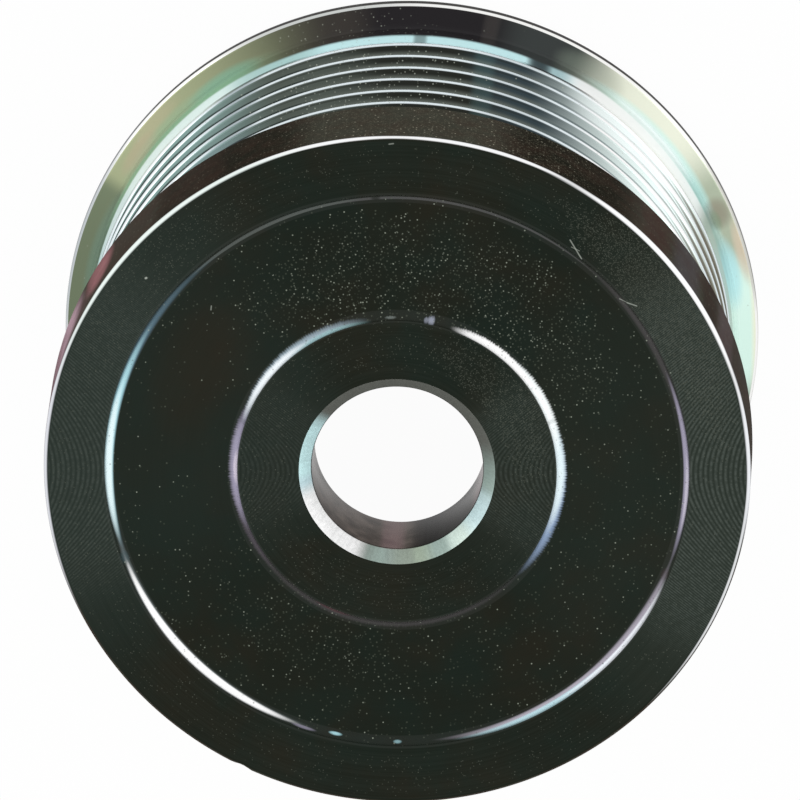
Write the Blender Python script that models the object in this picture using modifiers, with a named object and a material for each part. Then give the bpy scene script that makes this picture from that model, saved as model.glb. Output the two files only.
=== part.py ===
"""Ribbed belt pulley for a six-rib belt, turned from one piece of steel.

The pulley stands on its rear end. Its axis is +Z, the front face looks up, and the origin is the
centre of the rear end face. All sizes are metres.
"""
import math

import bmesh
import bpy

MM = 0.001

# Belt track: the rib form of a PK belt
RIB_PITCH = 3.56 * MM
GROOVE_COUNT = 6
FLANK_ANGLE = math.radians(20)
CREST_RADIUS = 31.7 * MM
CREST_ROUND = 0.40 * MM
ROOT_ROUND = 0.45 * MM

# Plain lands on both sides of the track, which rise slightly towards the collars
FRONT_LAND = 4.9 * MM
REAR_LAND = 3.75 * MM
LAND_RISE = 0.30 * MM
LAND_FILLET = 0.35 * MM

# Front collar, which ends in the front face
FRONT_COLLAR_RADIUS = 34.4 * MM
FRONT_COLLAR_WIDTH = 9.4 * MM
FRONT_EDGE_ROUND = 0.45 * MM
COLLAR_EDGE_BREAK = 0.28 * MM

# Thin rear flange, which guides the belt
FLANGE_RADIUS = 34.3 * MM
FLANGE_WIDTH = 1.25 * MM

# Shallow turned relief in the front face, between the hub face and the outer face
HUB_FACE_RADIUS = 15.55 * MM
OUTER_FACE_RADIUS = 28.45 * MM
FACE_RELIEF_DEPTH = 0.50 * MM
RELIEF_FILLET = 0.80 * MM

# Bore, web and the deep hollow behind the web
BORE_RADIUS = 8.35 * MM
BORE_FRONT_CHAMFER = 1.20 * MM
BORE_REAR_CHAMFER = 0.30 * MM
WEB_THICKNESS = 9.2 * MM
HOLLOW_RADIUS = 23.5 * MM
HOLLOW_FILLET = 1.6 * MM
HOLLOW_MOUTH_CHAMFER = 0.8 * MM

# Facets of the turned surfaces
TURN_STEPS = 64
SHARP_ANGLE = math.radians(28)
SEAM_MERGE = 0.01 * MM


def arc(centre_r, centre_z, radius, start_deg, end_deg, segments):
    """Profile points on an arc; the angle is counted from +r towards +z."""
    points = []
    for i in range(segments + 1):
        angle = math.radians(start_deg + (end_deg - start_deg) * i / segments)
        points.append((centre_r + radius * math.cos(angle), centre_z + radius * math.sin(angle)))
    return points


def groove_depth():
    """Depth of a V groove with a rounded crest and a rounded root."""
    sharp_depth = RIB_PITCH / 2 / math.tan(FLANK_ANGLE)
    lost_to_round = 1 / math.sin(FLANK_ANGLE) - 1
    return sharp_depth - (CREST_ROUND + ROOT_ROUND) * lost_to_round


def crest(z, start_deg, end_deg, segments):
    """Rounded rib crest whose highest line is at z."""
    return arc(CREST_RADIUS - CREST_ROUND, z, CREST_ROUND, start_deg, end_deg, segments)


def root(z):
    """Rounded groove root, halfway between two crests."""
    flank_normal = 90 - math.degrees(FLANK_ANGLE)
    centre = CREST_RADIUS - groove_depth() + ROOT_ROUND
    return arc(centre, z, ROOT_ROUND, 180 - flank_normal, 180 + flank_normal, 3)


def track(first_crest_z):
    """The grooves from front to rear; the end crests run out into the lands."""
    flank_normal = 90 - math.degrees(FLANK_ANGLE)
    points = crest(first_crest_z, 0, -flank_normal, 2)
    for i in range(GROOVE_COUNT):
        points += root(first_crest_z - (i + 0.5) * RIB_PITCH)
        next_z = first_crest_z - (i + 1) * RIB_PITCH
        if i < GROOVE_COUNT - 1:
            points += crest(next_z, flank_normal, -flank_normal, 3)
        else:
            points += crest(next_z, flank_normal, 0, 2)
    return points


def collar_wall(foot_z, top_radius, side):
    """Inner wall of a collar, from its filleted foot on the land to its top radius.

    The wall leans by the flank angle. side is +1 where it rises towards the front and -1 where
    it rises towards the rear.
    """
    foot_radius = CREST_RADIUS + LAND_RISE
    fillet_turn = 90 - math.degrees(FLANK_ANGLE)
    back_off = LAND_FILLET * math.tan(math.radians(fillet_turn / 2))
    points = arc(foot_radius + LAND_FILLET, foot_z - side * back_off, LAND_FILLET,
                 180, 180 - side * fillet_turn, 3)
    points.append((top_radius, foot_z + side * wall_run(top_radius)))
    return points


def wall_run(top_radius):
    """Axial length of a leaning collar wall."""
    return (top_radius - CREST_RADIUS - LAND_RISE) * math.tan(FLANK_ANGLE)


def relief_side(edge_radius, front_z, side):
    """Concave side of the face relief, from its floor up to its sharp edge.

    side is +1 where the wall faces outwards (hub) and -1 where it faces inwards.
    """
    open_angle = math.degrees(math.acos((RELIEF_FILLET - FACE_RELIEF_DEPTH) / RELIEF_FILLET))
    width = RELIEF_FILLET * math.sin(math.radians(open_angle))
    centre_r = edge_radius + side * width
    centre_z = front_z - FACE_RELIEF_DEPTH + RELIEF_FILLET
    return arc(centre_r, centre_z, RELIEF_FILLET, -90, -90 - side * open_angle, 3)


def heights():
    """Heights of the main planes above the rear end face, from the rear up."""
    flange_top = FLANGE_RADIUS - COLLAR_EDGE_BREAK
    collar_top = FRONT_COLLAR_RADIUS - COLLAR_EDGE_BREAK
    rear_foot = FLANGE_WIDTH + wall_run(flange_top)
    last_crest = rear_foot + REAR_LAND
    first_crest = last_crest + GROOVE_COUNT * RIB_PITCH
    front_foot = first_crest + FRONT_LAND
    front = front_foot + wall_run(collar_top) + FRONT_COLLAR_WIDTH
    return rear_foot, first_crest, front_foot, front


def pulley_profile():
    """Closed section of the pulley: down the outside, then up through the hollow and the bore."""
    rear_foot, first_crest, front_foot, front = heights()
    flange_top = FLANGE_RADIUS - COLLAR_EDGE_BREAK
    collar_top = FRONT_COLLAR_RADIUS - COLLAR_EDGE_BREAK
    collar_back = front_foot + wall_run(collar_top)
    web_back = front - WEB_THICKNESS

    round_r = FRONT_COLLAR_RADIUS - FRONT_EDGE_ROUND
    profile = arc(round_r, front - FRONT_EDGE_ROUND, FRONT_EDGE_ROUND, 90, 0, 3)
    profile.append((FRONT_COLLAR_RADIUS, collar_back + COLLAR_EDGE_BREAK))
    profile += reversed(collar_wall(front_foot, collar_top, 1))
    profile += track(first_crest)
    profile += collar_wall(rear_foot, flange_top, -1)
    profile.append((FLANGE_RADIUS, FLANGE_WIDTH - COLLAR_EDGE_BREAK))
    profile.append((FLANGE_RADIUS, COLLAR_EDGE_BREAK))
    profile.append((FLANGE_RADIUS - COLLAR_EDGE_BREAK, 0))

    profile.append((HOLLOW_RADIUS + HOLLOW_MOUTH_CHAMFER, 0))
    profile.append((HOLLOW_RADIUS, HOLLOW_MOUTH_CHAMFER))
    fillet_r = HOLLOW_RADIUS - HOLLOW_FILLET
    profile += arc(fillet_r, web_back - HOLLOW_FILLET, HOLLOW_FILLET, 0, 90, 4)
    profile.append((BORE_RADIUS + BORE_REAR_CHAMFER, web_back))
    profile.append((BORE_RADIUS, web_back + BORE_REAR_CHAMFER))
    profile.append((BORE_RADIUS, front - BORE_FRONT_CHAMFER))
    profile.append((BORE_RADIUS + BORE_FRONT_CHAMFER, front))
    profile += reversed(relief_side(HUB_FACE_RADIUS, front, 1))
    profile += relief_side(OUTER_FACE_RADIUS, front, -1)
    return profile


def turned_mesh(name, profile):
    """Turn a closed profile about Z with a Screw modifier and return the mesh."""
    bm = bmesh.new()
    verts = [bm.verts.new((r, 0, z)) for r, z in profile]
    for start, end in zip(verts, verts[1:] + verts[:1]):
        bm.edges.new((start, end))
    section = bpy.data.meshes.new(name + "_section")
    bm.to_mesh(section)
    bm.free()

    blank = bpy.data.objects.new(name + "_blank", section)
    bpy.context.scene.collection.objects.link(blank)
    screw = blank.modifiers.new("turn", "SCREW")
    screw.axis = "Z"
    screw.angle = math.tau
    screw.steps = TURN_STEPS
    screw.render_steps = TURN_STEPS
    screw.use_merge_vertices = True
    screw.merge_threshold = SEAM_MERGE
    bpy.context.view_layer.update()
    turned = blank.evaluated_get(bpy.context.evaluated_depsgraph_get())
    mesh = bpy.data.meshes.new_from_object(turned)
    bpy.data.objects.remove(blank)
    bpy.data.meshes.remove(section)

    mesh.name = name
    mesh.shade_smooth()
    mesh.set_sharp_from_angle(angle=SHARP_ANGLE)
    return mesh


def plated_steel():
    """Dark passivated zinc plating on turned steel."""
    material = bpy.data.materials.new("plated_steel")
    material.use_nodes = True
    shader = material.node_tree.nodes["Principled BSDF"]
    shader.inputs["Base Color"].default_value = (0.055, 0.066, 0.060, 1)
    shader.inputs["Metallic"].default_value = 1.0
    shader.inputs["Roughness"].default_value = 0.28
    return material


def build():
    """Clear the scene and model the pulley."""
    for obj in list(bpy.data.objects):
        bpy.data.objects.remove(obj)
    parts = bpy.data.collections.new("ribbed_belt_pulley")
    bpy.context.scene.collection.children.link(parts)

    mesh = turned_mesh("pulley", pulley_profile())
    mesh.materials.append(plated_steel())
    parts.objects.link(bpy.data.objects.new("pulley", mesh))


build()
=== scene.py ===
"""Looks of the ribbed belt pulley: one piece of turned steel, zinc plated and passivated. Its
glints, highlights and dark reflections are painted into its colours.

The pulley stands on its rear end with its axis along +Z. Its sizes are in mm, and turns about the
axis are in degrees, counted from +X towards +Y. The studio round it is in metres.
"""
import math

import bmesh
import bpy
from mathutils import Matrix, Vector


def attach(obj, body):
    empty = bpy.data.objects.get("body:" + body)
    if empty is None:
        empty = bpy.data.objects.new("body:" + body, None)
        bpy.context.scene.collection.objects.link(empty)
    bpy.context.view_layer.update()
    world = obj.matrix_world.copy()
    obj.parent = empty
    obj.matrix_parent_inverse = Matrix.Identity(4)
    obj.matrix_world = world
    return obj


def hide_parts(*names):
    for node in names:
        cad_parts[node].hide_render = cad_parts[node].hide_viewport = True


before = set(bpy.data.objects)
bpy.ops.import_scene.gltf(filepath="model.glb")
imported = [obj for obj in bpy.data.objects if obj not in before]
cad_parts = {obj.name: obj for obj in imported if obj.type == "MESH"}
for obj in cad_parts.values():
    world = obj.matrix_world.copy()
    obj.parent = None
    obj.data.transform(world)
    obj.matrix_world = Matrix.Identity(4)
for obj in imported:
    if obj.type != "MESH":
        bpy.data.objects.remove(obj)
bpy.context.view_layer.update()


# Rear. The whole pulley is turned from one steel bar. The rear end face, the deep hollow that
# clears the nose of the driven machine and the back of the web are the plainest of its surfaces,
# zinc plated and passivated to a smoky silver with the fine lines of the lathe tool.
MM = 0.001
TURN_STEPS = 480
PULLEY_HEIGHT = 42.1665

pulley = bmesh.new()
pulley_finishes = []


def turn_run(corners, finish):
    """Turn one run of the section about Z and give its faces a finish.

    A corner is (radius, height) or (radius, height, round, segments), all in mm.
    """
    run = bmesh.new()
    verts = [run.verts.new((corner[0], 0, corner[1])) for corner in corners]
    for start, end in zip(verts, verts[1:]):
        run.edges.new((start, end))
    rounded = []
    for i, corner in enumerate(corners):
        if len(corner) > 2:
            back = (verts[i - 1].co - verts[i].co).normalized()
            ahead = (verts[i + 1].co - verts[i].co).normalized()
            bend = math.pi - back.angle(ahead)
            rounded.append((verts[i], corner[2] * math.tan(bend / 2), corner[3]))
    for vert, reach, segments in rounded:
        bmesh.ops.bevel(run, geom=[vert], affect="VERTICES", offset_type="OFFSET",
                        offset=reach, segments=segments, profile=0.5, material=-1)
    bmesh.ops.spin(run, geom=run.verts[:] + run.edges[:], cent=(0, 0, 0), axis=(0, 0, 1),
                   angle=math.tau, steps=TURN_STEPS, use_merge=True)
    bmesh.ops.scale(run, vec=(MM, MM, MM), verts=run.verts)
    for face in run.faces:
        face.material_index = len(pulley_finishes)
    part = bpy.data.meshes.new("run")
    run.to_mesh(part)
    run.free()
    pulley.from_mesh(part)
    bpy.data.meshes.remove(part)
    pulley_finishes.append(finish)


def shade(red, green, blue):
    """Screen colour, 0 to 255, as the linear colour that the shader takes."""
    linear = [(c / 255 / 12.92) if c <= 10 else ((c / 255 + 0.055) / 1.055) ** 2.4
              for c in (red, green, blue)]
    return (*linear, 1)


def add(tree, kind, sockets=None, **settings):
    """Add a shader node with its settings, and set or link its sockets."""
    made = tree.nodes.new("ShaderNode" + kind)
    for name, value in settings.items():
        setattr(made, name, value)
    for name, value in (sockets or {}).items():
        if isinstance(value, bpy.types.NodeSocket):
            tree.links.new(value, made.inputs[name])
        else:
            made.inputs[name].default_value = value
    return made


def sum_up(tree, operation, *values, clamp=False):
    """Math node on up to three values."""
    return add(tree, "Math", dict(enumerate(values)), operation=operation,
               use_clamp=clamp).outputs[0]


def times(tree, value, *others):
    """Product of two or more values."""
    for other in others:
        value = sum_up(tree, "MULTIPLY", value, other)
    return value


def vector_sum(tree, operation, *values, output=0):
    """Vector Math node on up to two vectors."""
    return add(tree, "VectorMath", dict(enumerate(values)), operation=operation).outputs[output]


def mix_colour(tree, factor, under, over):
    """Lay one colour over another."""
    return add(tree, "Mix", {0: factor, 6: under, 7: over}, data_type="RGBA").outputs[2]


def ease(tree, value, low, high, out_low=0.0, out_high=1.0):
    """Smooth step of a value from low to high."""
    return add(tree, "MapRange", {"Value": value, "From Min": low, "From Max": high,
                                  "To Min": out_low, "To Max": out_high},
               interpolation_type="SMOOTHSTEP").outputs[0]


def shader_group(name, inputs, outputs):
    """New node group. inputs and outputs name their sockets and give each one's kind."""
    tree = bpy.data.node_groups.new(name, "ShaderNodeTree")
    for side, sockets in (("INPUT", inputs), ("OUTPUT", outputs)):
        for socket, kind in sockets.items():
            tree.interface.new_socket(socket, in_out=side, socket_type="NodeSocket" + kind)
    return tree, tree.nodes.new("NodeGroupInput").outputs, tree.nodes.new("NodeGroupOutput").inputs


def use_group(tree, group, **sockets):
    """Place a node group in a tree, with its inputs by name."""
    return add(tree, "Group", sockets, node_tree=group).outputs


# The place of a point on the pulley, in mm and degrees.
turned_place, _, place_out = shader_group("turned_place", {}, {
    "Spot": "Vector", "Heading": "Vector", "Radius": "Float", "Height": "Float", "Turn": "Float"})
spot = vector_sum(turned_place, "SCALE", add(turned_place, "TexCoord").outputs["Object"])
spot.node.inputs["Scale"].default_value = 1 / MM
flat = vector_sum(turned_place, "MULTIPLY", spot, (1, 1, 0))
heading = vector_sum(turned_place, "NORMALIZE", flat)
axes = add(turned_place, "SeparateXYZ", {0: spot}).outputs
turn = sum_up(turned_place, "DEGREES", sum_up(turned_place, "ARCTAN2", axes["Y"], axes["X"]))
for name, value in (("Spot", spot), ("Heading", heading), ("Turn", turn), ("Height", axes["Z"]),
                    ("Radius", vector_sum(turned_place, "LENGTH", flat, output=1))):
    turned_place.links.new(value, place_out[name])

# The fine lines of the lathe tool, one to each step of its feed, drawn out along the turn.
MARK_SWEEP = (1.6, 1.6, 0)

turning_marks, marks_in, marks_out = shader_group("turning_marks", {
    "Across": "Float", "Heading": "Vector", "Feed": "Float"}, {"Marks": "Float"})
lines = add(turning_marks, "CombineXYZ", {
    "Z": sum_up(turning_marks, "DIVIDE", marks_in["Across"], marks_in["Feed"])}).outputs[0]
swept = vector_sum(turning_marks, "MULTIPLY", marks_in["Heading"], MARK_SWEEP)
cut = add(turning_marks, "TexNoise", {"Vector": vector_sum(turning_marks, "ADD", swept, lines),
                                      "Scale": 1.0, "Detail": 2.0, "Roughness": 0.6})
turning_marks.links.new(ease(turning_marks, cut.outputs["Fac"], 0.3, 0.7), marks_out["Marks"])

# Soft clouds where the passivated film is thicker.
film_clouds, film_in, film_out = shader_group("film_clouds", {
    "Colour": "Color", "Tint": "Color", "Spot": "Vector", "Size": "Float", "Amount": "Float"},
    {"Colour": "Color"})
cloud = add(film_clouds, "TexNoise", {
    "Vector": film_in["Spot"], "Scale": sum_up(film_clouds, "DIVIDE", 1.0, film_in["Size"]),
    "Detail": 3.0, "Roughness": 0.55})
thickness = times(film_clouds, ease(film_clouds, cloud.outputs["Fac"], 0.35, 0.7),
                  film_in["Amount"])
film_clouds.links.new(mix_colour(film_clouds, thickness, film_in["Colour"], film_in["Tint"]),
                      film_out["Colour"])


PLATING_SPECULAR = 0.15


def plated_finish(name, roughness, edge):
    """New metal material: the material, its tree, its shader's inputs and the turned place."""
    material = bpy.data.materials.new(name)
    material.use_nodes = True
    tree = material.node_tree
    shader = tree.nodes["Principled BSDF"].inputs
    shader["Metallic"].default_value = 1.0
    shader["Roughness"].default_value = roughness
    shader["Specular IOR Level"].default_value = PLATING_SPECULAR
    shader["Specular Tint"].default_value = edge
    return material, tree, shader, use_group(tree, turned_place)


FLANGE_RADIUS = 34.28
REAR_EDGE_START = FLANGE_RADIUS - 0.5
HOLLOW_RADIUS = 23.5
HOLLOW_CHAMFER = 0.8
HOLLOW_FILLET = 1.6
WEB_THICKNESS = 9.2
WEB_BACK = PULLEY_HEIGHT - WEB_THICKNESS
BORE_RADIUS = 8.35
BORE_REAR_CHAMFER = 0.3
REAR_FEED = 0.2
MARK_DEPTH = 0.02 * MM

SMOKE = shade(66, 68, 64)
SMOKE_BROWN = shade(96, 92, 84)
SMOKE_LINE = shade(120, 124, 118)

rear_finish, tree, shader, place = plated_finish("rear_plating", 0.32, (0.8, 0.8, 0.8, 1))
across = sum_up(tree, "ADD", place["Radius"], place["Height"])
marks = use_group(tree, turning_marks, Across=across, Heading=place["Heading"],
                  Feed=REAR_FEED)[0]
colour = use_group(tree, film_clouds, Colour=SMOKE, Tint=SMOKE_BROWN, Spot=place["Spot"],
                   Size=6.0, Amount=0.8)[0]
colour = mix_colour(tree, times(tree, marks, 0.25), colour, SMOKE_LINE)
tree.links.new(colour, shader["Base Color"])
bump = add(tree, "Bump", {"Strength": 0.25, "Distance": MARK_DEPTH, "Height": marks})
tree.links.new(bump.outputs[0], shader["Normal"])

turn_run([
    (REAR_EDGE_START, 0.0),
    (HOLLOW_RADIUS + HOLLOW_CHAMFER, 0.0),
    (HOLLOW_RADIUS, HOLLOW_CHAMFER),
    (HOLLOW_RADIUS, WEB_BACK, HOLLOW_FILLET, 8),
    (BORE_RADIUS + BORE_REAR_CHAMFER, WEB_BACK),
], rear_finish)


# Bore. The web is bored through for the driven shaft and chamfered at the front. The film on its
# wall is brown, with pink patches of painted reflection and dark arcs of painted shade. The
# chamfer's bright arcs are painted highlights, over fine streaks.
BORE_CHAMFER = 1.20
BORE_REAR_BREAK = 0.08
BORE_FRONT_BREAK = 0.12
STREAK_FEED = 0.5
STREAK_SPREAD = 0.3
SCUFF_FEED = 0.22
SCUFF_SWEEP = (24, 24, 0)

WHITE = shade(253, 253, 253)
BORE_BROWN = shade(104, 94, 88)
BORE_DUSK = shade(26, 23, 21)
BORE_PINK_REFLECTION = shade(146, 118, 122)
CHAMFER_GREY = shade(112, 114, 108)
CHAMFER_MINT = shade(164, 184, 176)

# The mask of one arc about the axis: a long oval, full at its middle and fading to its edge.
arc_glint, glint_in, glint_out = shader_group("arc_glint", {
    "Turn": "Float", "Across": "Float", "Middle": "Float", "Reach": "Float", "Line": "Float",
    "Width": "Float", "Softness": "Float"}, {"Mask": "Float"})
away = sum_up(arc_glint, "WRAP", sum_up(arc_glint, "SUBTRACT", glint_in["Turn"],
                                        glint_in["Middle"]), 180.0, -180.0)
along = sum_up(arc_glint, "DIVIDE", away, glint_in["Reach"])
beside = sum_up(arc_glint, "DIVIDE", sum_up(arc_glint, "SUBTRACT", glint_in["Across"],
                                            glint_in["Line"]), glint_in["Width"])
inside = sum_up(arc_glint, "SUBTRACT", 1.0, sum_up(
    arc_glint, "ADD", times(arc_glint, along, along), times(arc_glint, beside, beside)))
arc_glint.links.new(ease(arc_glint, inside, 0.0, glint_in["Softness"]), glint_out["Mask"])

# The half width of an arc that covers its finish from edge to edge.
ALL_ACROSS = 1000.0


def lay_glints(tree, place, across, colour, glints):
    """Lay arcs of another colour over a colour: mostly painted glints, reflections and shade.

    A glint is (middle, half length, line, half width, softness, strength, tone), with its first
    two in degrees and its line and half width in mm across.
    """
    for middle, reach, line, width, softness, strength, tone in glints:
        mask = use_group(tree, arc_glint, Turn=place["Turn"], Across=across, Middle=middle,
                         Reach=reach, Line=line, Width=width, Softness=softness)[0]
        colour = mix_colour(tree, times(tree, mask, strength), colour, tone)
    return colour


bore_finish, tree, shader, place = plated_finish("bore_plating", 0.22, (0.58, 0.58, 0.58, 1))
wall = use_group(tree, film_clouds, Colour=BORE_BROWN, Tint=BORE_DUSK, Spot=place["Spot"],
                 Size=2.2, Amount=0.6)[0]
# Pink patches of painted reflection and dark arcs of painted shade round the wall.
wall = lay_glints(tree, place, place["Radius"], wall, [
    (132, 32, 8, ALL_ACROSS, 0.8, 1.0, BORE_DUSK),
    (112, 8, 8, ALL_ACROSS, 1.0, 0.5, BORE_DUSK),
    (92, 10, 8, ALL_ACROSS, 1.0, 0.4, BORE_PINK_REFLECTION),
    (174, 20, 8, ALL_ACROSS, 1.0, 0.6, BORE_PINK_REFLECTION),
])
# The chamfer's tones round the axis are painted highlights and reflections.
chamfer = lay_glints(tree, place, place["Radius"], CHAMFER_GREY, [
    (135, 72, 9, ALL_ACROSS, 0.7, 1.0, CHAMFER_MINT),
    (105, 16, 9, ALL_ACROSS, 1.0, 0.5, shade(170, 180, 150)),
    (140, 14, 9, ALL_ACROSS, 1.0, 0.9, shade(222, 240, 230)),
    (158, 18, 9, ALL_ACROSS, 1.0, 0.8, shade(216, 242, 246)),
    (97, 12, 9, ALL_ACROSS, 0.9, 0.5, shade(140, 148, 142)),
    (6, 42, 9, ALL_ACROSS, 0.6, 1.0, shade(216, 253, 255)),
    (18, 10, 9, ALL_ACROSS, 1.0, 0.6, shade(196, 214, 224)),
    (46, 32, 9, ALL_ACROSS, 0.6, 1.0, WHITE),
])
streaks = use_group(tree, turning_marks, Across=times(tree, place["Turn"], STREAK_SPREAD),
                    Heading=place["Heading"], Feed=STREAK_FEED)[0]
scuffs = use_group(tree, turning_marks, Across=place["Radius"], Heading=vector_sum(
    tree, "MULTIPLY", place["Heading"], SCUFF_SWEEP), Feed=SCUFF_FEED)[0]
on_chamfer = ease(tree, place["Radius"], BORE_RADIUS + 0.02, BORE_RADIUS + 0.1)
colour = mix_colour(tree, on_chamfer, wall, chamfer)
colour = mix_colour(tree, times(tree, streaks, 0.10), colour, SMOKE)
colour = mix_colour(tree, times(tree, scuffs, on_chamfer, 0.14), colour, SMOKE)
tree.links.new(colour, shader["Base Color"])
# The chamfer is mostly matt, so that its painted highlights keep their tones.
tree.links.new(sum_up(tree, "MULTIPLY_ADD", on_chamfer, -0.8, 1.0), shader["Metallic"])

turn_run([
    (BORE_RADIUS + BORE_REAR_CHAMFER, WEB_BACK),
    (BORE_RADIUS, WEB_BACK + BORE_REAR_CHAMFER, BORE_REAR_BREAK, 2),
    (BORE_RADIUS, PULLEY_HEIGHT - BORE_CHAMFER, BORE_FRONT_BREAK, 3),
    (BORE_RADIUS + BORE_CHAMFER, PULLEY_HEIGHT),
], bore_finish)


# Front face. A flat hub face round the bore and a flat outer face, with a shallow ring relief
# between them. The two concave sides of the relief are the bright rings, lit by painted glints.
# The flats are painted nearly black as a dark reflection, with watered marks from the tool and
# fine grains in the plating.
HUB_FACE_RADIUS = 15.55
OUTER_FACE_RADIUS = 28.45
RELIEF_DEPTH = 0.50
RELIEF_FILLET = 0.80
FRONT_EDGE_START = 33.93
OUTER_RING = 28.1
INNER_RING = 15.95
RING_HALF_WIDTH = 0.62
FINE_FEED = 0.16
WATER_FEED = 0.1215
WATER_BEAT = 0.0972
WATER_AXIS = (0.9944, 0.1057, 0)
CHATTER_SWEEP = (75, 75, 0)

FACE_BLACK = shade(31, 35, 29)
FACE_LEFT_SHEEN = shade(43, 51, 46)
FACE_RIGHT_SHEEN = shade(43, 50, 44)
FACE_BROWN = shade(40, 37, 29)
FACE_TEAL = shade(28, 39, 34)
WATERED_GREY = shade(92, 100, 94)
LINE_GREY = shade(80, 88, 80)
GRAIN = shade(168, 176, 160)
DIM_GRAIN = shade(84, 90, 78)
SAND = shade(92, 96, 86)
SCRATCH_SILVER = shade(176, 182, 172)
ICE = shade(188, 238, 247)
LAVENDER = shade(182, 176, 200)

face_finish, tree, shader, place = plated_finish("front_face_plating", 0.30, (0.8, 0.8, 0.8, 1))
radius = place["Radius"]
on_outer = ease(tree, radius, OUTER_FACE_RADIUS - 0.2, OUTER_FACE_RADIUS + 0.3)
on_hub = ease(tree, radius, HUB_FACE_RADIUS + 0.3, HUB_FACE_RADIUS - 0.1)
on_flats = sum_up(tree, "ADD", on_outer, on_hub, clamp=True)
colour = use_group(tree, film_clouds, Colour=FACE_BLACK, Tint=FACE_BROWN, Spot=place["Spot"],
                   Size=9.0, Amount=0.6)[0]
colour = use_group(tree, film_clouds, Colour=colour, Tint=FACE_TEAL, Spot=vector_sum(
    tree, "ADD", place["Spot"], (40, 10, 0)), Size=7.0, Amount=0.6)[0]
# Painted sheen: the flats are lighter to the left and right, most of all on the outer face. The
# last arc is a brown blotch in the film.
painted_sheen = lay_glints(tree, place, radius, colour, [
    (354, 56, 0, ALL_ACROSS, 1.0, 1.0, FACE_LEFT_SHEEN),
    (190, 52, 0, ALL_ACROSS, 1.0, 1.0, FACE_RIGHT_SHEEN),
    (158, 26, 0, ALL_ACROSS, 1.0, 0.5, FACE_RIGHT_SHEEN),
    (338, 24, 22.0, 5.0, 1.0, 0.8, shade(54, 47, 38)),
])
sheen_amount = sum_up(tree, "MULTIPLY_ADD", on_outer, 0.65,
                     sum_up(tree, "MULTIPLY_ADD", on_hub, 0.15, 0.35))
colour = mix_colour(tree, sheen_amount, colour, painted_sheen)

# Watered marks, where the rings of the tool's feed beat against straight lines on the face.
watered_marks, water_in, water_out = shader_group("watered_marks", {
    "Radius": "Float", "Spot": "Vector", "Feed": "Float", "Beat": "Float"}, {"Marks": "Float"})
sideways = vector_sum(watered_marks, "DOT_PRODUCT", water_in["Spot"], WATER_AXIS, output=1)
phase = sum_up(watered_marks, "SUBTRACT",
               sum_up(watered_marks, "DIVIDE", water_in["Radius"], water_in["Feed"]),
               sum_up(watered_marks, "DIVIDE", sum_up(watered_marks, "ABSOLUTE", sideways),
                      water_in["Beat"]))
wave = sum_up(watered_marks, "SINE", times(watered_marks, phase, math.tau))
watered_marks.links.new(sum_up(watered_marks, "MULTIPLY_ADD", wave, 0.5, 0.5), water_out["Marks"])

# The half length of an arc that runs all round, and the two ends of a mask.
ALL_ROUND = 999
NO_PART = (0, 0, 0, 1)
FULL_PART = (1, 1, 1, 1)


def mask_arcs(tree, place, across, arcs, elsewhere=NO_PART):
    """Mask along arcs, each (middle, half length, line, half width, softness, strength)."""
    return lay_glints(tree, place, across, elsewhere, [(*arc, FULL_PART) for arc in arcs])


water = use_group(tree, watered_marks, Radius=radius, Spot=place["Spot"], Feed=WATER_FEED,
                  Beat=WATER_BEAT)[0]
on_watered = sum_up(tree, "MULTIPLY_ADD", on_hub, 0.5, on_outer)
# The watered marks show only to the left and right, where the tool's lines catch the light: a
# painted sheen over the real pattern of the feed.
watered_sheen_where = mask_arcs(tree, place, radius, [
    (358, 36, 0, ALL_ACROSS, 0.7, 0.6),
    (189, 41, 0, ALL_ACROSS, 0.6, 1.0),
])
dashes = add(tree, "TexNoise", {"Vector": place["Spot"], "Scale": 3.0, "Detail": 1.0})
dashes = ease(tree, dashes.outputs["Fac"], 0.35, 0.65, 0.24, 0.52)
water_amount = times(tree, water, on_watered, times(tree, watered_sheen_where, dashes))
colour = mix_colour(tree, water_amount, colour, WATERED_GREY)

marks = use_group(tree, turning_marks, Across=radius, Heading=place["Heading"],
                  Feed=FINE_FEED)[0]
line_amount = sum_up(tree, "MULTIPLY_ADD", on_flats, 0.04, 0.01)
colour = mix_colour(tree, times(tree, marks, line_amount), colour, LINE_GREY)

# The outer ring's arcs are painted glints and reflections, lying between dark breaks.
colour = lay_glints(tree, place, radius, colour, [
    (214, 24, 28.08, 0.42, 1.0, 0.9, shade(66, 64, 64)),
    (275, 46, 28.04, 0.18, 0.5, 0.7, shade(86, 86, 86)),
    (302, 20, 28.06, 0.22, 0.3, 0.8, shade(84, 90, 86)),
    (187, 22, 28.14, 0.34, 0.9, 0.7, LAVENDER),
    (182, 10, 28.22, 0.20, 1.0, 0.5, shade(224, 218, 232)),
    (350, 38, 28.02, 0.52, 1.0, 0.75, shade(96, 124, 140)),
    (358, 26, 28.02, 0.50, 1.1, 0.95, ICE),
    (4, 19, 28.06, 0.44, 1.0, 1.0, shade(234, 252, 254)),
    (48, 32, 28.04, 0.48, 1.0, 0.7, shade(140, 150, 152)),
    (50, 27, 28.08, 0.38, 0.6, 1.0, WHITE),
    (76.8, 3.0, 28.20, 0.16, 1.0, 0.4, LAVENDER),
    (83.3, 1.6, 28.00, 0.20, 1.0, 0.7, ICE),
    (95.8, 1.0, 28.10, 0.20, 1.0, 0.4, ICE),
    (136, 34, 28.12, 0.38, 0.9, 0.95, shade(176, 170, 182)),
    (149, 17, 28.00, 0.38, 1.0, 0.8, shade(160, 154, 166)),
    (128, 22, 28.30, 0.24, 1.0, 0.9, shade(186, 222, 230)),
    (146, 19, 28.32, 0.24, 1.0, 0.9, shade(238, 242, 248)),
    (164, 1.6, 28.05, 0.50, 1.0, 0.3, shade(70, 52, 58)),
    (25, 1.8, 28.10, 0.50, 1.0, 0.6, shade(60, 80, 84)),
    (280, 1.2, 28.05, 0.40, 1.0, 0.8, FACE_BLACK),
])

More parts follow.
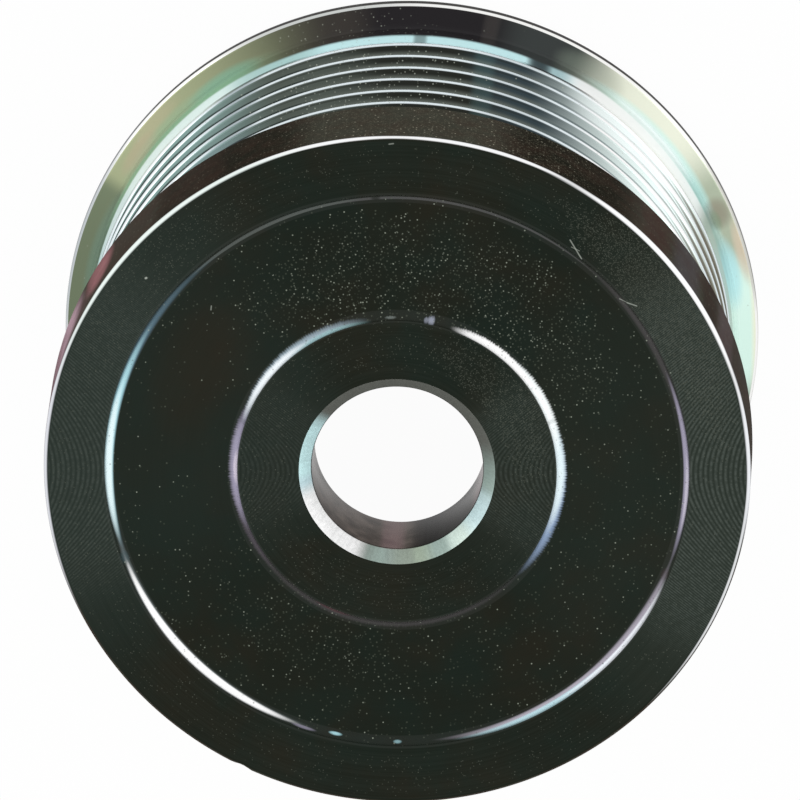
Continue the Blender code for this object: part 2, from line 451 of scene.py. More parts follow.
# The inner ring's glints end crisply at the hub and fray outwards along the tool's chatter.
comb = add(tree, "TexNoise", {
    "Vector": vector_sum(tree, "MULTIPLY", place["Heading"], CHATTER_SWEEP),
    "Scale": 1.0, "Detail": 1.0}).outputs["Fac"]
chatter = sum_up(tree, "SINE", sum_up(tree, "MULTIPLY_ADD", place["Turn"], 6.9,
                                      times(tree, comb, 6.0)))
teeth = sum_up(tree, "MULTIPLY_ADD", sum_up(tree, "SUBTRACT", comb, 0.5), 0.35,
               sum_up(tree, "MULTIPLY_ADD", chatter, 0.05, 1.0))
frayed = sum_up(tree, "MULTIPLY_ADD", sum_up(tree, "SUBTRACT", radius, HUB_FACE_RADIUS), teeth,
                HUB_FACE_RADIUS)
ringed = lay_glints(tree, place, frayed, colour, [
    (86, 68, 15.76, 0.56, 0.9, 0.9, shade(62, 60, 60)),
    (72, 8, 15.70, 0.26, 1.0, 0.5, shade(96, 60, 66)),
    (24, 26, 15.72, 0.60, 1.0, 0.6, shade(92, 84, 94)),
    (3, 28, 15.70, 0.78, 1.0, 0.85, shade(170, 164, 188)),
    (5, 8, 15.68, 0.34, 1.0, 0.7, shade(226, 216, 230)),
    (317, 33, 15.70, 0.78, 1.0, 0.9, shade(164, 182, 194)),
    (304, 20, 15.58, 0.34, 1.0, 0.4, shade(160, 216, 214)),
    (328, 21, 15.76, 0.48, 1.0, 1.0, shade(234, 240, 244)),
    (176, 34, 15.84, 0.76, 1.0, 0.9, shade(150, 172, 204)),
    (187, 27, 15.78, 0.74, 1.0, 1.0, shade(232, 248, 252)),
    (215, 24, 15.78, 0.72, 0.8, 1.0, shade(248, 254, 254)),
    (237, 20, 15.72, 0.56, 0.7, 1.0, WHITE),
    (263.6, 1.5, 15.85, 0.55, 1.0, 0.6, shade(180, 186, 204)),
    (265.4, 1.0, 15.80, 0.35, 1.0, 0.4, shade(180, 186, 204)),
    (278, 2.4, 15.80, 0.16, 1.0, 0.4, shade(150, 160, 156)),
    (205, 1.2, 15.80, 0.80, 1.0, 0.2, FACE_TEAL),
    (347.4, 1.4, 15.80, 0.80, 1.0, 0.2, FACE_TEAL),
])
colour = mix_colour(tree, ease(tree, radius, HUB_FACE_RADIUS - 0.05, HUB_FACE_RADIUS + 0.05),
                    colour, ringed)

# The rings are mostly matt, so that their painted glints keep their tones.
on_rings = sum_up(tree, "ADD", *(
    mask_arcs(tree, place, radius, [(0, ALL_ROUND, ring, RING_HALF_WIDTH, 0.3, 1.0)])
    for ring in (OUTER_RING, INNER_RING)))
tree.links.new(sum_up(tree, "MULTIPLY_ADD", on_rings, -0.85, 1.0, clamp=True), shader["Metallic"])

# Grains of the plating: a share of the cells has one round grain each, some of them dimmer.
specks, specks_in, specks_out = shader_group("specks", {
    "Spot": "Vector", "Cell": "Float", "Size": "Float", "Share": "Float"}, {"Mask": "Float"})
cell_sides = add(specks, "CombineXYZ", {axis: specks_in["Cell"] for axis in "XYZ"}).outputs[0]
cells = add(specks, "TexVoronoi", {
    "Vector": vector_sum(specks, "DIVIDE", specks_in["Spot"], cell_sides), "Scale": 1.0})
reach = times(specks, cells.outputs["Distance"], specks_in["Cell"])
grain = ease(specks, reach, specks_in["Size"], times(specks, specks_in["Size"], 0.4))
drawn = add(specks, "SeparateColor", {0: cells.outputs["Color"]}).outputs
kept = sum_up(specks, "LESS_THAN", drawn["Red"], specks_in["Share"])
bright = sum_up(specks, "MULTIPLY_ADD", drawn["Green"], 0.7, 0.3)
specks.links.new(times(specks, kept, bright, grain), specks_out["Mask"])


def lay_specks(tree, place, colour, tone, cell, size, share, strength, where=1.0):
    """Scatter small grains of the plating over a colour. cell and size are in mm."""
    mask = use_group(tree, specks, Spot=place["Spot"], Cell=cell, Size=size, Share=share)[0]
    return mix_colour(tree, times(tree, mask, strength, where), colour, tone)


on_relief = sum_up(tree, "SUBTRACT", 1.0, on_flats)
grain_share = times(tree, lay_glints(tree, place, radius, shade(110, 110, 110), [
    (264, 66, 20.5, 7.0, 1.0, 1.0, FULL_PART),
    (72, 34, 19.0, 6.0, 1.0, 0.3, FULL_PART),
    (354, 40, 20.0, 9.0, 0.6, 0.9, shade(50, 50, 50)),
]), on_relief)
colour = lay_specks(tree, place, colour, GRAIN, 0.43, 0.10, grain_share, 0.66)
colour = lay_specks(tree, place, colour, DIM_GRAIN, 0.36, 0.12, times(tree, grain_share, 2.0),
                    0.6, on_relief)
sand_share = mask_arcs(tree, place, radius, [
    (0, ALL_ROUND, 31.3, 2.6, 0.5, 0.06),
    (326, 26, 31.3, 3.4, 0.8, 0.14),
    (218, 32, 31.5, 3.6, 0.8, 0.9),
    (0, ALL_ROUND, 13.0, 2.9, 0.5, 0.1),
    (220, 46, 13.0, 2.9, 0.8, 0.6),
])
colour = lay_specks(tree, place, colour, SAND, 0.14, 0.08, sand_share, 0.65)

# A few handling scratches catch the light.
scratch, scratch_in, scratch_out = shader_group("scratch", {
    "Spot": "Vector", "Start": "Vector", "End": "Vector", "Width": "Float"}, {"Mask": "Float"})
reach = vector_sum(scratch, "SUBTRACT", scratch_in["End"], scratch_in["Start"])
from_start = vector_sum(scratch, "SUBTRACT", scratch_in["Spot"], scratch_in["Start"])
share = sum_up(scratch, "DIVIDE", vector_sum(scratch, "DOT_PRODUCT", from_start, reach, output=1),
               vector_sum(scratch, "DOT_PRODUCT", reach, reach, output=1), clamp=True)
nearest = vector_sum(scratch, "SCALE", reach)
scratch.links.new(share, nearest.node.inputs["Scale"])
gap = vector_sum(scratch, "DISTANCE", from_start, nearest, output=1)
scratch.links.new(ease(scratch, gap, scratch_in["Width"], 0.0), scratch_out["Mask"])
for start, end, width, strength in (
        ((-14.3, -25.6), (-15.6, -23.8), 0.10, 0.6),
        ((-14.5, -24.9), (-15.3, -24.6), 0.08, 0.4),
        ((-19.7, -20.0), (-21.4, -19.6), 0.10, 0.6),
        ((4.1, -33.4), (3.7, -33.5), 0.11, 0.5),
        ((26.14, -17.14), (26.2, -17.1), 0.17, 1.0),
        ((19.6, -14.8), (19.6, -14.4), 0.10, 0.5)):
    mask = use_group(tree, scratch, Spot=vector_sum(tree, "MULTIPLY", place["Spot"], (1, 1, 0)),
                     Start=(*start, 0), End=(*end, 0), Width=width)[0]
    colour = mix_colour(tree, times(tree, mask, strength), colour, SCRATCH_SILVER)
tree.links.new(colour, shader["Base Color"])
bump = add(tree, "Bump", {"Strength": 0.05, "Distance": MARK_DEPTH,
                          "Height": times(tree, marks, on_flats)})
tree.links.new(bump.outputs[0], shader["Normal"])

# The sides of the relief are arcs of the fillet, cut off by the flats at a sharp edge.
relief_floor = PULLEY_HEIGHT - RELIEF_DEPTH
side_width = math.sqrt(RELIEF_FILLET ** 2 - (RELIEF_FILLET - RELIEF_DEPTH) ** 2)
side_bend = math.acos(1 - RELIEF_DEPTH / RELIEF_FILLET)
side_foot = side_width - RELIEF_FILLET * math.tan(side_bend / 2)
side_round = RELIEF_FILLET * 0.99

turn_run([
    (BORE_RADIUS + BORE_CHAMFER, PULLEY_HEIGHT),
    (HUB_FACE_RADIUS, PULLEY_HEIGHT),
    (HUB_FACE_RADIUS + side_foot, relief_floor, side_round, 10),
    (OUTER_FACE_RADIUS - side_foot, relief_floor, side_round, 10),
    (OUTER_FACE_RADIUS, PULLEY_HEIGHT),
    (FRONT_EDGE_START, PULLEY_HEIGHT),
], face_finish)


# Front collar. A wide plain collar with a rounded front edge, which stands out as a white line of
# painted highlight. The plating on its outside is brown with small grains, with dark and mauve
# arcs of painted reflection towards the sides.
COLLAR_RADIUS = 34.38
COLLAR_BACK = 32.767
COLLAR_WALL_TOP = COLLAR_RADIUS - 0.36
FRONT_EDGE_ROUND = 0.44
EDGE_BREAK = 0.28

COLLAR_BROWN = shade(58, 53, 47)
COLLAR_OLIVE = shade(63, 65, 56)
COLLAR_DARK_REFLECTION = shade(27, 27, 21)
COLLAR_MAUVE_REFLECTION = shade(120, 92, 98)
COLLAR_RUST = shade(64, 47, 40)
COLLAR_LINE = shade(90, 84, 76)
COLLAR_SAND = shade(98, 96, 82)
COLLAR_GRAIN = shade(168, 164, 146)

collar_finish, tree, shader, place = plated_finish("collar_plating", 0.36, (0.38, 0.38, 0.38, 1))
shader["Metallic"].default_value = 0.1
shader["Specular IOR Level"].default_value = 0.0
# The way over the front edge and down the outside, from 0 where the front face ends.
edge_run = sum_up(tree, "SUBTRACT", place["Radius"], sum_up(
    tree, "SUBTRACT", place["Height"], PULLEY_HEIGHT - FRONT_EDGE_START))
colour = use_group(tree, film_clouds, Colour=COLLAR_BROWN, Tint=COLLAR_OLIVE, Spot=place["Spot"],
                   Size=1.6, Amount=0.9)[0]
# Dark and light arcs of painted reflection round the collar's outside.
colour = lay_glints(tree, place, edge_run, colour, [
    (276, 21, 0, ALL_ACROSS, 0.8, 0.85, shade(59, 60, 52)),
    (246, 15, 0, ALL_ACROSS, 0.8, 0.95, COLLAR_DARK_REFLECTION),
    (300, 12, 0, ALL_ACROSS, 1.0, 0.9, COLLAR_DARK_REFLECTION),
    (312, 9, 0, ALL_ACROSS, 0.8, 0.8, shade(39, 33, 28)),
    (328, 10, 0, ALL_ACROSS, 0.9, 0.8, shade(60, 53, 47)),
    (356, 14, 0, ALL_ACROSS, 1.0, 0.8, shade(112, 88, 96)),
    (194, 22, 0, ALL_ACROSS, 0.8, 0.8, shade(57, 52, 48)),
    (208, 4, 0, ALL_ACROSS, 1.0, 0.6, shade(90, 80, 82)),
    (214, 3, 0, ALL_ACROSS, 1.0, 0.7, shade(46, 38, 35)),
    (221, 4.5, 0, ALL_ACROSS, 1.0, 0.7, shade(76, 73, 76)),
    (229, 4, 0, ALL_ACROSS, 1.0, 0.5, shade(64, 42, 40)),
])
# Pink and mauve arcs of painted reflection on the left of the collar's outside.
colour = lay_glints(tree, place, place["Height"], colour, [
    (334, 5, 35.5, 6.0, 1.0, 0.9, shade(160, 110, 114)),
    (341, 6, 38.5, 5.0, 1.0, 0.5, shade(98, 76, 78)),
    (347, 9, 36.0, 7.0, 0.9, 0.9, shade(180, 150, 162)),
    (353, 8, 36.5, 6.5, 0.8, 0.6, COLLAR_MAUVE_REFLECTION),
])
marks = use_group(tree, turning_marks, Across=place["Height"], Heading=place["Heading"],
                  Feed=FINE_FEED)[0]
colour = mix_colour(tree, times(tree, marks, 0.07), colour, COLLAR_LINE)
colour = use_group(tree, film_clouds, Colour=colour, Tint=COLLAR_RUST, Spot=vector_sum(
    tree, "ADD", place["Spot"], (11, 3, 20)), Size=2.6, Amount=0.3)[0]
grainy = mask_arcs(tree, place, edge_run, [(268, 30, 0, ALL_ACROSS, 0.7, 1.0)],
                   elsewhere=(0.3, 0.3, 0.3, 1))
grainy = times(tree, ease(tree, edge_run, 0.9, 1.1), grainy)
colour = lay_specks(tree, place, colour, COLLAR_SAND, 0.22, 0.14, 0.55, 0.5, grainy)
colour = lay_specks(tree, place, colour, COLLAR_GRAIN, 0.38, 0.11, 0.35, 0.8, grainy)

# The front face's near-black tone and painted sheen reach the start of the edge, and the round
# itself carries the white line of painted highlight.
face_tone_and_sheen = lay_glints(tree, place, edge_run, FACE_BLACK, [
    (354, 56, 0, ALL_ACROSS, 1.0, 1.0, FACE_LEFT_SHEEN),
    (190, 50, 0, ALL_ACROSS, 1.0, 1.0, FACE_RIGHT_SHEEN),
])
colour = mix_colour(tree, ease(tree, edge_run, 0.35, 0.15), colour, face_tone_and_sheen)
# Painted highlights along the front edge's round, white to grey round the turn.
colour = lay_glints(tree, place, edge_run, colour, [
    (2, 32, 0.46, 0.40, 0.9, 1.0, shade(212, 214, 220)),
    (168, 28, 0.26, 0.24, 0.9, 0.9, shade(226, 228, 230)),
    (190, 18, 0.52, 0.50, 0.9, 1.0, shade(232, 234, 238)),
    (224, 30, 0.38, 0.46, 0.8, 1.0, shade(251, 252, 253)),
    (262, 22, 0.56, 0.36, 0.8, 1.0, shade(242, 243, 244)),
    (290, 22, 0.56, 0.36, 0.8, 1.0, shade(242, 243, 244)),
    (320, 36, 0.44, 0.42, 0.9, 1.0, shade(228, 238, 234)),
])
tree.links.new(colour, shader["Base Color"])

turn_run([
    (FRONT_EDGE_START, PULLEY_HEIGHT),
    (COLLAR_RADIUS, PULLEY_HEIGHT, FRONT_EDGE_ROUND, 8),
    (COLLAR_RADIUS, COLLAR_BACK, EDGE_BREAK, 4),
    (COLLAR_WALL_TOP, COLLAR_BACK),
], collar_finish)


# Belt track. Six turned grooves take the ribs of the belt, with a plain land by each collar. A
# painted highlight makes a bright line along each crest. The flanks are painted dark at the crest
# and paler towards the root, with painted shade deep in each groove.
CREST_RADIUS = 31.7
RIB_PITCH = 3.56
CREST_COUNT = 7
LAST_CREST = 5.735
FIRST_CREST = LAST_CREST + (CREST_COUNT - 1) * RIB_PITCH
CREST_HALF = 0.28
CREST_ROUND = 0.385
FIRST_CREST_ROUND = 0.35
ROOT_HALF = 0.315
ROOT_ROUND = 0.44
GROOVE_DEPTH = 3.257
ROOT_RADIUS = CREST_RADIUS - GROOVE_DEPTH
LAND_RISE = 0.30
LAND_RADIUS = CREST_RADIUS + LAND_RISE
LAND_FILLET = 0.35
FRONT_FOOT = 31.995
REAR_FOOT = 1.985
LAND_START = LAST_CREST - 0.16
HIGHLIGHT_LEAN = 0.25
HIGHLIGHT_SHIFT = 4.0

FLANK_DARK = shade(40, 42, 38)
FLANK_GREY = shade(106, 112, 105)
FLANK_PALE = shade(230, 245, 242)
FLANK_BLUE = shade(118, 142, 138)
FLANK_LILAC = shade(106, 116, 120)
GROOVE_SHADE = shade(44, 52, 50)
TRACK_GRAIN = shade(170, 176, 164)

track_finish, tree, shader, place = plated_finish("track_plating", 0.26, (0.7, 0.7, 0.7, 1))
depth = sum_up(tree, "SUBTRACT", CREST_RADIUS, place["Radius"])
# The painted highlights and shade on the flanks lean: they lie a little further round at each
# groove.
slant = {"Turn": sum_up(tree, "MULTIPLY_ADD", place["Height"], HIGHLIGHT_LEAN,
                        sum_up(tree, "SUBTRACT", place["Turn"], HIGHLIGHT_SHIFT))}
# Painted reflections round the flanks: pale to the right, blue and lilac to the left, darker at
# the top.
by_crest = lay_glints(tree, slant, depth, FLANK_DARK, [
    (300, 22, 0, ALL_ACROSS, 1.0, 0.9, shade(84, 92, 86)),
    (250, 16, 0, ALL_ACROSS, 1.0, 0.6, shade(62, 78, 86)),
    (210, 43, 0, ALL_ACROSS, 1.0, 1.0, FLANK_PALE),
    (190, 28, 0, ALL_ACROSS, 1.0, 1.0, shade(104, 104, 92)),
    (338, 40, 0, ALL_ACROSS, 0.8, 1.0, FLANK_BLUE),
])
by_root = lay_glints(tree, slant, depth, FLANK_GREY, [
    (294, 12, 0, ALL_ACROSS, 1.0, 0.6, shade(84, 90, 84)),
    (210, 43, 0, ALL_ACROSS, 1.0, 1.0, FLANK_PALE),
    (190, 28, 0, ALL_ACROSS, 1.0, 1.0, shade(112, 112, 98)),
    (338, 38, 0, ALL_ACROSS, 0.9, 1.0, FLANK_LILAC),
    (236, 16, 0.84, 0.18, 1.0, 0.6, shade(110, 116, 116)),
])
colour = mix_colour(tree, ease(tree, depth, 0.45, 1.15), by_crest, by_root)
# Painted shade: dark lines under the crests and deep in each groove where the next crest hides the
# root, a few lighter lines, and a faint teal streak.
colour = lay_glints(tree, place, depth, colour, [
    (276, 34, 0.27, 0.11, 0.8, 0.55, FLANK_DARK),
    (302, 10, 0.84, 0.16, 0.7, 0.9, GROOVE_SHADE),
    (311, 9, 0.76, 0.16, 0.7, 0.9, GROOVE_SHADE),
    (320, 9, 0.64, 0.15, 0.7, 0.9, GROOVE_SHADE),
    (328, 8, 0.53, 0.14, 0.7, 0.9, GROOVE_SHADE),
    (336, 8, 0.42, 0.13, 0.7, 0.9, GROOVE_SHADE),
    (343, 7, 0.32, 0.10, 0.7, 0.9, GROOVE_SHADE),
    (244, 9, 0.82, 0.13, 0.7, 0.6, shade(84, 98, 102)),
    (235, 8, 0.79, 0.12, 0.7, 0.7, shade(120, 134, 136)),
    (226, 8, 0.71, 0.12, 0.7, 0.7, shade(130, 142, 142)),
    (217, 8, 0.61, 0.12, 0.7, 0.7, shade(130, 138, 134)),
    (200, 24, 0.36, 0.20, 0.8, 0.9, shade(96, 92, 80)),
    (262, 2.5, 0, ALL_ACROSS, 1.0, 0.12, shade(110, 150, 150)),
])
# Painted highlight: a bright line along each crest, wider on the left.
wider_highlight = mask_arcs(tree, place, depth, [(334, 22, 0, ALL_ACROSS, 0.8, 1.0)])
highlight_depth = sum_up(tree, "MULTIPLY_ADD", wider_highlight, -0.08, depth)
crest_highlight = times(tree, ease(tree, highlight_depth, 0.15, 0.07),
                   ease(tree, place["Height"], FIRST_CREST + 0.12, FIRST_CREST + 0.06))
crest_highlight_tone = lay_glints(tree, place, depth, shade(226, 236, 240), [
    (228, 18, 0, ALL_ACROSS, 0.8, 1.0, WHITE),
    (256, 8, 0, ALL_ACROSS, 1.0, 0.5, shade(186, 196, 200)),
    (308, 6, 0, ALL_ACROSS, 1.0, 0.8, shade(160, 172, 178)),
    (330, 16, 0, ALL_ACROSS, 1.0, 0.7, shade(244, 250, 252)),
])
# Painted reflections along the pulley: lavender over the front grooves to the left, white over the
# rear grooves to the right.
colour = lay_glints(tree, place, place["Height"], colour, [
    (314, 20, 27.0, 8.0, 1.0, 0.4, shade(118, 116, 152)),
    (233, 15, 7.0, 7.0, 1.0, 0.6, shade(246, 254, 253)),
])
colour = mix_colour(tree, crest_highlight, colour, crest_highlight_tone)
grain_share = mask_arcs(tree, place, depth, [(284, 22, 0, ALL_ACROSS, 1.0, 0.8)],
                        elsewhere=(0.05, 0.05, 0.05, 1))
colour = lay_specks(tree, place, colour, TRACK_GRAIN, 0.36, 0.10, grain_share, 0.7)
tree.links.new(colour, shader["Base Color"])

track = [(COLLAR_WALL_TOP, COLLAR_BACK), (LAND_RADIUS, FRONT_FOOT, LAND_FILLET, 6)]
for i in range(CREST_COUNT):
    crest = FIRST_CREST - i * RIB_PITCH
    if i == 0:
        track.append((CREST_RADIUS, crest, FIRST_CREST_ROUND, 2))
    else:
        track.append((CREST_RADIUS, crest + CREST_HALF, CREST_ROUND, 4))
    if i < CREST_COUNT - 1:
        root = crest - RIB_PITCH / 2
        track.append((CREST_RADIUS, crest - CREST_HALF, CREST_ROUND, 4))
        track.append((ROOT_RADIUS, root + ROOT_HALF, ROOT_ROUND, 3))
        track.append((ROOT_RADIUS, root - ROOT_HALF, ROOT_ROUND, 3))
land_start_radius = CREST_RADIUS + LAND_RISE * (LAST_CREST - LAND_START) / (LAST_CREST - REAR_FOOT)
track.append((land_start_radius, LAND_START))
turn_run(track, track_finish)


# Rear flange. A thin flange closes the track at the rear, behind a plain land with an ice blue
# band of painted reflection along the last rib. Its inner wall leans like the flanks and shows the
# strongest film colours, mixed with painted reflections: straw, olive and teal at the sides, and a
# dark painted reflection at the top.
FLANGE_TOP = 1.25
FLANGE_BEVEL_IN = 0.31
FLANGE_BEVEL_DOWN = 0.30
FLANGE_ROUND = 0.10
RIM_LINE_LOW = 0.94
RIM_LINE_HIGH = 1.00

WALL_BLACK = shade(40, 38, 40)
WALL_OLIVE = shade(151, 158, 125)
WALL_STRAW = shade(228, 232, 214)
WALL_SAGE = shade(160, 170, 150)
WALL_GREEN = shade(136, 166, 136)
WALL_MOSS = shade(109, 120, 97)
LAND_ICE_REFLECTION = shade(212, 252, 255)
FLANGE_GRAIN = shade(160, 165, 152)

flange_finish, tree, shader, place = plated_finish("flange_plating", 0.26, (0.5, 0.5, 0.5, 1))
rise = sum_up(tree, "SUBTRACT", place["Radius"], LAND_RADIUS)
# The wall's film colours with painted reflections: pale and green at the sides, dark at the top.
colour = lay_glints(tree, place, rise, WALL_BLACK, [
    (262, 1.8, 0, ALL_ACROSS, 1.0, 0.25, shade(90, 86, 82)),
    (334, 45, 0, ALL_ACROSS, 1.0, 1.0, WALL_OLIVE),
    (320, 23, 0.0, 1.2, 1.0, 0.55, WALL_GREEN),
    (311, 9, 0.2, 1.0, 1.0, 0.5, shade(112, 168, 146)),
    (325, 7, 1.5, 0.9, 1.0, 0.2, shade(190, 168, 144)),
    (331, 6, 0.8, 1.0, 1.0, 0.3, shade(176, 150, 132)),
    (355, 18.5, 0, ALL_ACROSS, 0.35, 1.0, WALL_MOSS),
    (352, 16, 0.0, 1.1, 1.0, 0.5, shade(106, 136, 122)),
    (291, 10, 0, ALL_ACROSS, 1.0, 0.2, shade(104, 98, 86)),
    (204, 34, 0, ALL_ACROSS, 0.5, 1.0, WALL_SAGE),
    (230, 17, 0, ALL_ACROSS, 1.0, 1.0, WALL_STRAW),
    (252, 10, 0, ALL_ACROSS, 1.0, 0.2, shade(104, 116, 112)),
    (243, 8, 0.6, 2.0, 1.0, 0.4, shade(140, 152, 138)),
    (187, 16, 0.8, 3.0, 0.8, 0.95, shade(216, 245, 234)),
    (198, 8, 0.3, 1.2, 1.0, 0.7, shade(166, 220, 226)),
    (222, 24, 0.0, 1.05, 1.0, 0.55, shade(180, 238, 238)),
    (209, 3.5, 0.9, 1.6, 1.0, 0.6, shade(122, 110, 96)),
    (208, 2.5, 0.5, 0.6, 1.0, 0.6, shade(116, 136, 112)),
    (201, 7, 1.9, 0.9, 1.0, 0.6, shade(210, 188, 166)),
    (187, 14, 2.4, 0.9, 1.0, 0.7, shade(242, 234, 204)),
])
# The land's ice blue band is a painted reflection, with a dark gap in it.
land = lay_glints(tree, place, rise, LAND_ICE_REFLECTION, [
    (196, 22, 0, ALL_ACROSS, 0.6, 1.0, shade(172, 190, 180)),
    (229, 20, 0, ALL_ACROSS, 0.5, 1.0, shade(253, 255, 255)),
    (328, 30, 0, ALL_ACROSS, 0.8, 1.0, shade(238, 255, 255)),
    (301, 11, 0, ALL_ACROSS, 1.0, 0.7, shade(166, 204, 200)),
    (250, 5, 0, ALL_ACROSS, 1.0, 0.6, shade(140, 164, 170)),
    (252.2, 2.8, 0, ALL_ACROSS, 1.0, 0.95, shade(52, 64, 68)),
    (274, 1.5, 0, ALL_ACROSS, 0.9, 0.6, FLANK_DARK),
])
# Painted shade: a dark line on the land beside the last crest.
rim_shade = lay_glints(tree, place, rise, (0.08, 0.08, 0.08, 1), [
    (248, 9, 0, ALL_ACROSS, 1.0, 1.0, (0.9, 0.9, 0.9, 1)),
    (305, 12, 0, ALL_ACROSS, 1.0, 1.0, (0.8, 0.8, 0.8, 1)),
])
rim_shade = times(tree, rim_shade, ease(tree, place["Height"], LAST_CREST - 0.62, LAST_CREST - 0.42))
land = mix_colour(tree, rim_shade, land, FLANK_DARK)
# Painted reflection: a pale green glow along the wall's foot.
foot = lay_glints(tree, place, rise, colour, [
    (325, 23, 0, ALL_ACROSS, 0.8, 0.8, shade(150, 192, 158))])
colour = mix_colour(tree, ease(tree, place["Height"], 1.9, 2.2), colour, foot)
widened = mask_arcs(tree, place, rise, [
    (325, 28, 0, ALL_ACROSS, 1.0, 0.6),
    (226, 26, 0, ALL_ACROSS, 0.8, 1.0),
])
ice_amount = ease(tree, sum_up(tree, "ADD", place["Height"], widened), LAST_CREST - 2.35,
                  LAST_CREST - 1.65)
# Painted highlight: the foot of the land is white on the right.
white_foot = mask_arcs(tree, place, rise, [(227, 12, 0, ALL_ACROSS, 1.0, 0.6)])
white_foot = times(tree, white_foot, ease(tree, place["Height"], 1.75, 1.95))
ice_amount = sum_up(tree, "MAXIMUM", ice_amount, white_foot)
colour = mix_colour(tree, ice_amount, colour, land)

# A painted highlight makes the flange's outer edge a bright line. The outside under it is painted
# dark at the top and pale at the sides, as reflections.
edge_highlight = times(tree, ease(tree, place["Radius"], 34.02, 34.06),
                  ease(tree, place["Height"], RIM_LINE_LOW, RIM_LINE_HIGH))
on_outside = ease(tree, place["Height"], RIM_LINE_HIGH, RIM_LINE_LOW)
outside = lay_glints(tree, place, rise, shade(76, 74, 73), [
    (356, 38, 0, ALL_ACROSS, 1.0, 0.9, shade(170, 176, 184)),
    (200, 22, 0, ALL_ACROSS, 1.0, 0.8, shade(136, 134, 134)),
    (184, 12, 0, ALL_ACROSS, 1.0, 0.9, shade(228, 222, 220)),
])
outside = lay_glints(tree, place, place["Height"], outside, [
    (275, 58, 0.0, 0.42, 0.8, 0.9, shade(18, 17, 18))])
colour = mix_colour(tree, on_outside, colour, outside)
edge_highlight_tone = lay_glints(tree, place, rise, shade(244, 244, 242), [
    (292, 20, 0, ALL_ACROSS, 1.0, 0.8, shade(190, 194, 192)),
    (352, 24, 0, ALL_ACROSS, 1.0, 0.9, shade(186, 192, 196)),
    (205, 16, 0, ALL_ACROSS, 0.8, 0.9, shade(196, 196, 188)),
])
colour = mix_colour(tree, edge_highlight, colour, edge_highlight_tone)
grain_share = mask_arcs(tree, place, rise, [(286, 18, 0, ALL_ACROSS, 1.0, 0.5)],
                        elsewhere=(0.03, 0.03, 0.03, 1))
colour = lay_specks(tree, place, colour, FLANGE_GRAIN, 0.36, 0.10, grain_share, 0.6)
tree.links.new(colour, shader["Base Color"])
# The land is mostly matt, so that its painted reflections keep their tones.
below_land = ease(tree, place["Height"], 1.95, 1.80)
tree.links.new(sum_up(tree, "MULTIPLY_ADD", below_land, 0.9, 0.1), shader["Metallic"])

turn_run([
    (land_start_radius, LAND_START),
    (LAND_RADIUS, REAR_FOOT, LAND_FILLET, 6),
    (FLANGE_RADIUS - FLANGE_BEVEL_IN, FLANGE_TOP, FLANGE_ROUND, 2),
    (FLANGE_RADIUS, FLANGE_TOP - FLANGE_BEVEL_DOWN, FLANGE_ROUND, 2),
    (FLANGE_RADIUS, 0.0, EDGE_BREAK, 4),
    (REAR_EDGE_START, 0.0),
], flange_finish)


# Finished pulley. The turned runs are welded to one closed piece. A knock has left a small nick in
# the front collar's edge.
WELD_REACH = 0.002 * MM
SHARP_ANGLE = 24
NICK_TURN = 69.5
NICK_REACH = 1.5
NICK_DEPTH = 0.15
NICK_FOOT = PULLEY_HEIGHT - 1.0
NICK_INNER_RADIUS = 33.8

bmesh.ops.remove_doubles(pulley, verts=pulley.verts, dist=WELD_REACH)
bmesh.ops.recalc_face_normals(pulley, faces=pulley.faces)

for vert in pulley.verts:
    turn = math.degrees(math.atan2(vert.co.y, vert.co.x))
    at_edge = vert.co.z > NICK_FOOT * MM and vert.co.xy.length > NICK_INNER_RADIUS * MM
    if at_edge and abs(turn - NICK_TURN) < NICK_REACH:
        dip = 1 - ((turn - NICK_TURN) / NICK_REACH) ** 2
        vert.co.xy *= 1 - NICK_DEPTH * dip / COLLAR_RADIUS

turned_mesh = bpy.data.meshes.new("turned_pulley")
pulley.to_mesh(turned_mesh)
pulley.free()
for finish in pulley_finishes:
    turned_mesh.materials.append(finish)
turned_mesh.shade_smooth()
turned_mesh.set_sharp_from_angle(angle=math.radians(SHARP_ANGLE))
turned_pulley = bpy.data.objects.new("turned_pulley", turned_mesh)
bpy.context.scene.collection.objects.link(turned_pulley)
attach(turned_pulley, "root")
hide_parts("pulley")


# Studio floor. A wide plain white floor just under the pulley. Camera and mirror rays see it as
# nearly pure white, and it keeps a trace of the pulley's soft shadow.
FLOOR_RADIUS = 6.0
FLOOR_DROP = 0.0002
FLOOR_WHITE = shade(238, 238, 238)
FLOOR_GLOW = 0.965

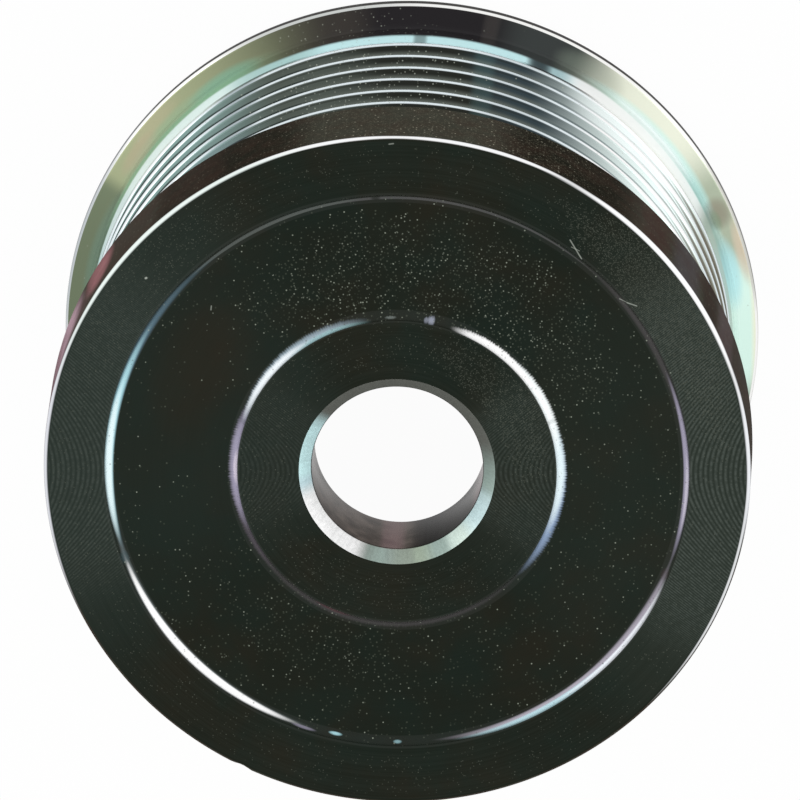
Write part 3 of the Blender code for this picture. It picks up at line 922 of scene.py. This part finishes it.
floor = bmesh.new()
bmesh.ops.create_circle(floor, cap_ends=True, segments=96, radius=FLOOR_RADIUS)
floor_mesh = bpy.data.meshes.new("studio_floor")
floor.to_mesh(floor_mesh)
floor.free()
floor_material = bpy.data.materials.new("white_floor")
floor_material.use_nodes = True
tree = floor_material.node_tree
tree.nodes.remove(tree.nodes["Principled BSDF"])
rays = add(tree, "LightPath").outputs
plain = sum_up(tree, "ADD", rays["Is Camera Ray"], rays["Is Glossy Ray"])
plain = sum_up(tree, "ADD", plain, rays["Is Transmission Ray"], clamp=True)
lit = add(tree, "BsdfDiffuse", {"Color": FLOOR_WHITE})
glow = add(tree, "Emission", {"Color": (1, 1, 1, 1), "Strength": 1.0})
surface = add(tree, "MixShader", {0: times(tree, plain, FLOOR_GLOW), 1: lit.outputs[0],
                                  2: glow.outputs[0]})
tree.links.new(surface.outputs[0], tree.nodes["Material Output"].inputs["Surface"])
floor_mesh.materials.append(floor_material)
studio_floor = bpy.data.objects.new("studio_floor", floor_mesh)
studio_floor.location.z = -FLOOR_DROP
bpy.context.scene.collection.objects.link(studio_floor)


# Studio light. An even white room does most of the lighting. One large soft lamp on each side
# adds to it at a plain level.
ROOM_LEVEL = 1.0
LAMP_SIZE = 0.5
LAMP_DISTANCE = 0.8
LAMP_RISE = 0.55

room = bpy.data.worlds.new("studio_room")
room.use_nodes = True
room_light = room.node_tree.nodes["Background"].inputs
room_light["Color"].default_value = (1, 1, 1, 1)
room_light["Strength"].default_value = ROOM_LEVEL
bpy.context.scene.world = room

for name, turn, power in (("right_softbox", 200, 0.6), ("left_softbox", 340, 0.75)):
    lamp = bpy.data.lights.new(name, "AREA")
    lamp.shape = "SQUARE"
    lamp.size = LAMP_SIZE
    lamp.energy = power
    holder = bpy.data.objects.new(name, lamp)
    angle = math.radians(turn)
    away = Vector((math.cos(angle), math.sin(angle), LAMP_RISE)).normalized()
    holder.location = away * LAMP_DISTANCE
    holder.rotation_euler = away.to_track_quat("Z", "Y").to_euler()
    bpy.context.scene.collection.objects.link(holder)


# Camera. A long lens looks down at the front face from 2 metres above, 19.6 degrees off the
# pulley's axis.
VIEW_PLACE = (0.0004389, -0.7236288, 2.0543537)
VIEW_TILT = 19.5928
VIEW_ROLL = 180 + 6.0667
LENS = 990

camera = bpy.data.cameras.new("camera")
camera.sensor_width = 36
camera.lens = LENS
camera.clip_end = 50
viewer = bpy.data.objects.new("camera", camera)
viewer.matrix_world = (Matrix.Translation(VIEW_PLACE)
                       @ Matrix.Rotation(math.radians(VIEW_TILT), 4, "X")
                       @ Matrix.Rotation(math.radians(VIEW_ROLL), 4, "Z"))
bpy.context.scene.collection.objects.link(viewer)
bpy.context.scene.camera = viewer
bpy.context.scene.view_settings.view_transform = "Standard"
